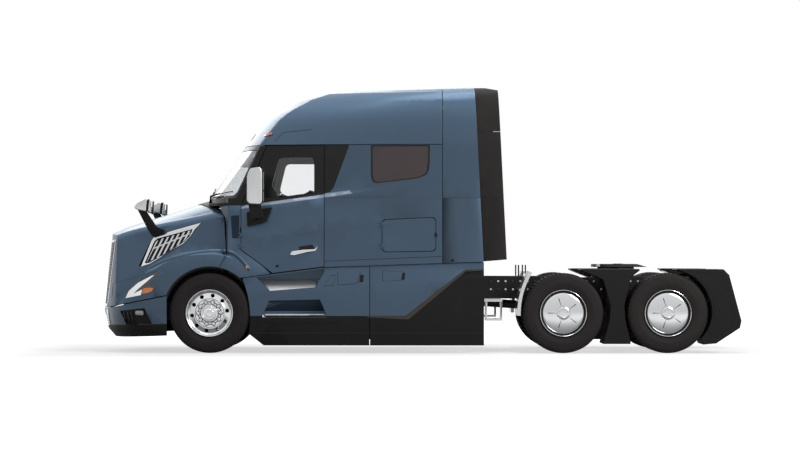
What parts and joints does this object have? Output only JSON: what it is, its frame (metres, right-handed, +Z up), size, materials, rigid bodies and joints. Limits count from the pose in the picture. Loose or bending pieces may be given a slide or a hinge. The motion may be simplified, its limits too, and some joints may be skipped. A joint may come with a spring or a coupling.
{
  "type": "semi truck tractor unit",
  "caption": "Highway tractor unit with sleeper cab: tilting hood, opening doors, steered front wheels, driven tandem with dual tyres and a fifth wheel coupling.",
  "frame": {"origin": "on the ground, under the middle of the bounding box", "axes": "-X is forward, towards the hood; -Y is the driver's side; +Z is up"},
  "size_m": [8.1612, 3, 3.3849],
  "materials": {
    "black_plastic": "grained",
    "body_paint": "metallic paint",
    "chassis_paint": "satin",
    "cover_chrome": "polished",
    "engine_iron": "as cast, painted",
    "fifth_wheel_iron": "greased",
    "flap_rubber": "matt sheet",
    "glass": "tinted",
    "lamp_lens": "clear lens",
    "mirror_chrome": "polished",
    "mirror_shell": "gloss",
    "radiator_metal": "brazed fins",
    "rim_metal": "polished",
    "seat_fabric": "woven",
    "tank_metal": "brushed",
    "trim_plastic": "grained",
    "tyre": "moulded"
  },
  "bodies": {
    "chassis": {"battery_boxes": "black_plastic", "bumper": "body_paint", "bumper_inserts": "black_plastic", "cab_floor": "trim_plastic", "cab_front": "body_paint", "cab_glass": "glass", "cab_rear_wall": "black_plastic", "cab_roof": "body_paint", "cab_sides": "body_paint", "cross_members": "chassis_paint", "dashboard": "trim_plastic", "deck_steps": "tank_metal", "drive_axles": "chassis_paint", "engine": "engine_iron", "extender_flaps": "flap_rubber", "fifth_wheel_base": "fifth_wheel_iron", "frame_brackets": "chassis_paint", "frame_rails": "chassis_paint", "front_axle": "chassis_paint", "fuel_tanks": "tank_metal", "lower_valances": "black_plastic", "quarter_fenders": "tank_metal", "radiator": "radiator_metal", "seat_bases": "trim_plastic", "seats_and_bunk": "seat_fabric", "side_extenders": "body_paint", "side_skirts": "body_paint", "tandem_fenders": "black_plastic"},
    "hood": {"hood": "body_paint", "grille": "black_plastic", "headlamps": "lamp_lens", "hood_mirrors": "mirror_shell"},
    "door_left": {"door_left": "body_paint", "door_glass_left": "glass", "door_mirror_left": "mirror_chrome"},
    "luggage_door_left": {"luggage_door_left": "body_paint"},
    "knuckle_left": {"knuckle_left": "chassis_paint"},
    "steer_wheel_left": {"steer_rim_left": "rim_metal", "steer_tyre_left": "tyre"},
    "dual_front_left": {"dual_rims_front_left": "cover_chrome", "dual_tyres_front_left": "tyre"},
    "dual_rear_left": {"dual_rims_rear_left": "cover_chrome", "dual_tyres_rear_left": "tyre"},
    "door_right": {"door_right": "body_paint", "door_glass_right": "glass", "door_mirror_right": "mirror_chrome"},
    "luggage_door_right": {"luggage_door_right": "body_paint"},
    "knuckle_right": {"knuckle_right": "chassis_paint"},
    "steer_wheel_right": {"steer_rim_right": "rim_metal", "steer_tyre_right": "tyre"},
    "dual_front_right": {"dual_rims_front_right": "cover_chrome", "dual_tyres_front_right": "tyre"},
    "dual_rear_right": {"dual_rims_rear_right": "cover_chrome", "dual_tyres_rear_right": "tyre"},
    "fifth_wheel": {"fifth_wheel_plate": "fifth_wheel_iron"}
  },
  "joints": [
    {"name": "hood_tilt", "type": "hinge", "parent": "chassis", "child": "hood", "pos_m": [-4.0625, 0, 0.568], "axis": [0, -1, 0], "range_deg": [0, 70]},
    {"name": "door_left_hinge", "type": "hinge", "parent": "chassis", "child": "door_left", "pos_m": [-2.2355, -1.16143, 1.4], "axis": [0, 0, -1], "range_deg": [0, 70]},
    {"name": "luggage_door_left_hinge", "type": "hinge", "parent": "chassis", "child": "luggage_door_left", "pos_m": [-0.4515, -1.22561, 1.5], "axis": [0, 0, -1], "range_deg": [0, 90]},
    {"name": "steer_left", "type": "hinge", "parent": "chassis", "child": "knuckle_left", "pos_m": [-2.6325, -0.925, 0.44], "axis": [0, 0, 1], "range_deg": [-38, 38]},
    {"name": "steer_wheel_left_spin", "type": "hinge", "parent": "knuckle_left", "child": "steer_wheel_left", "pos_m": [-2.6325, -1.035, 0.507], "axis": [0, 1, 0], "continuous": true},
    {"name": "dual_front_left_spin", "type": "hinge", "parent": "chassis", "child": "dual_front_left", "pos_m": [1.8375, -0.9325, 0.507], "axis": [0, 1, 0], "continuous": true},
    {"name": "dual_rear_left_spin", "type": "hinge", "parent": "chassis", "child": "dual_rear_left", "pos_m": [3.1575, -0.9325, 0.507], "axis": [0, 1, 0], "continuous": true},
    {"name": "door_right_hinge", "type": "hinge", "parent": "chassis", "child": "door_right", "pos_m": [-2.2355, 1.16143, 1.4], "axis": [0, 0, 1], "range_deg": [0, 70]},
    {"name": "luggage_door_right_hinge", "type": "hinge", "parent": "chassis", "child": "luggage_door_right", "pos_m": [-0.4515, 1.22561, 1.5], "axis": [0, 0, 1], "range_deg": [0, 90]},
    {"name": "steer_right", "type": "hinge", "parent": "chassis", "child": "knuckle_right", "pos_m": [-2.6325, 0.925, 0.44], "axis": [0, 0, 1], "range_deg": [-38, 38]},
    {"name": "steer_wheel_right_spin", "type": "hinge", "parent": "knuckle_right", "child": "steer_wheel_right", "pos_m": [-2.6325, 1.035, 0.507], "axis": [0, 1, 0], "continuous": true},
    {"name": "dual_front_right_spin", "type": "hinge", "parent": "chassis", "child": "dual_front_right", "pos_m": [1.8375, 0.9325, 0.507], "axis": [0, 1, 0], "continuous": true},
    {"name": "dual_rear_right_spin", "type": "hinge", "parent": "chassis", "child": "dual_rear_right", "pos_m": [3.1575, 0.9325, 0.507], "axis": [0, 1, 0], "continuous": true},
    {"name": "fifth_wheel_tilt", "type": "hinge", "parent": "chassis", "child": "fifth_wheel", "pos_m": [2.6395, 0, 1.04], "axis": [0, 1, 0], "range_deg": [-8, 8]}
  ],
  "couplings": [
    {"joint": "steer_right", "follows": "steer_left", "ratio": 1}
  ]
}
